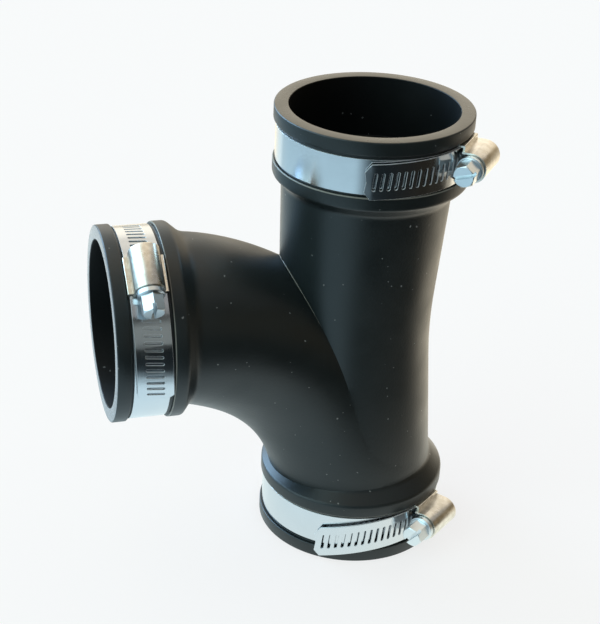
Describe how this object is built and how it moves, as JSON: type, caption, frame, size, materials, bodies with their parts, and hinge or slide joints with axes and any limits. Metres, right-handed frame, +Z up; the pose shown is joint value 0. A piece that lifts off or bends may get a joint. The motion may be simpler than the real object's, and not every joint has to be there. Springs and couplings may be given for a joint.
{
  "type": "flexible rubber tee",
  "caption": "Moulded rubber pipe tee with a sweeping side branch; each open end is a socket that a slotted steel worm-drive band clamp squeezes on to a pipe.",
  "frame": {"origin": "centre of the bottom mouth", "axes": "+Z up the straight run to the top mouth, -X out of the branch mouth, +Y across the run"},
  "size_m": [0.1365, 0.0793, 0.1705],
  "materials": {
    "rubber": "satin, moulded",
    "strap_steel": "bright rolled stainless steel",
    "housing_steel": "bright pressed stainless steel",
    "screw_zinc": "bright zinc plate"
  },
  "bodies": {
    "tee": {"tee_body": "rubber"},
    "top_clamp": {"top_strap": "strap_steel", "top_housing": "housing_steel"},
    "bottom_clamp": {"bottom_strap": "strap_steel", "bottom_housing": "housing_steel"},
    "branch_clamp": {"branch_strap": "strap_steel", "branch_housing": "housing_steel"},
    "top_screw": {"top_screw": "screw_zinc"},
    "bottom_screw": {"bottom_screw": "screw_zinc"},
    "branch_screw": {"branch_screw": "screw_zinc"}
  },
  "joints": [
    {"name": "top_clamp_swivel", "type": "hinge", "parent": "tee", "child": "top_clamp", "pos_m": [0, 0, 0.1577], "axis": [0, 0, 1], "continuous": true},
    {"name": "top_screw_turn", "type": "hinge", "parent": "top_clamp", "child": "top_screw", "pos_m": [0.03039, -0.02461, 0.1577], "axis": [-0.6293, -0.7771, 0], "continuous": true},
    {"name": "bottom_clamp_swivel", "type": "hinge", "parent": "tee", "child": "bottom_clamp", "pos_m": [0, 0, 0.0127], "axis": [0, 0, 1], "continuous": true},
    {"name": "bottom_screw_turn", "type": "hinge", "parent": "bottom_clamp", "child": "bottom_screw", "pos_m": [0.02487, -0.03017, 0.0127], "axis": [-0.7716, -0.6361, 0], "continuous": true},
    {"name": "branch_clamp_swivel", "type": "hinge", "parent": "tee", "child": "branch_clamp", "pos_m": [-0.0849, 0, 0.0937], "axis": [-1, 0, 0], "continuous": true},
    {"name": "branch_screw_turn", "type": "hinge", "parent": "branch_clamp", "child": "branch_screw", "pos_m": [-0.0849, -0.02298, 0.12533], "axis": [0, -0.809, -0.5878], "continuous": true}
  ]
}
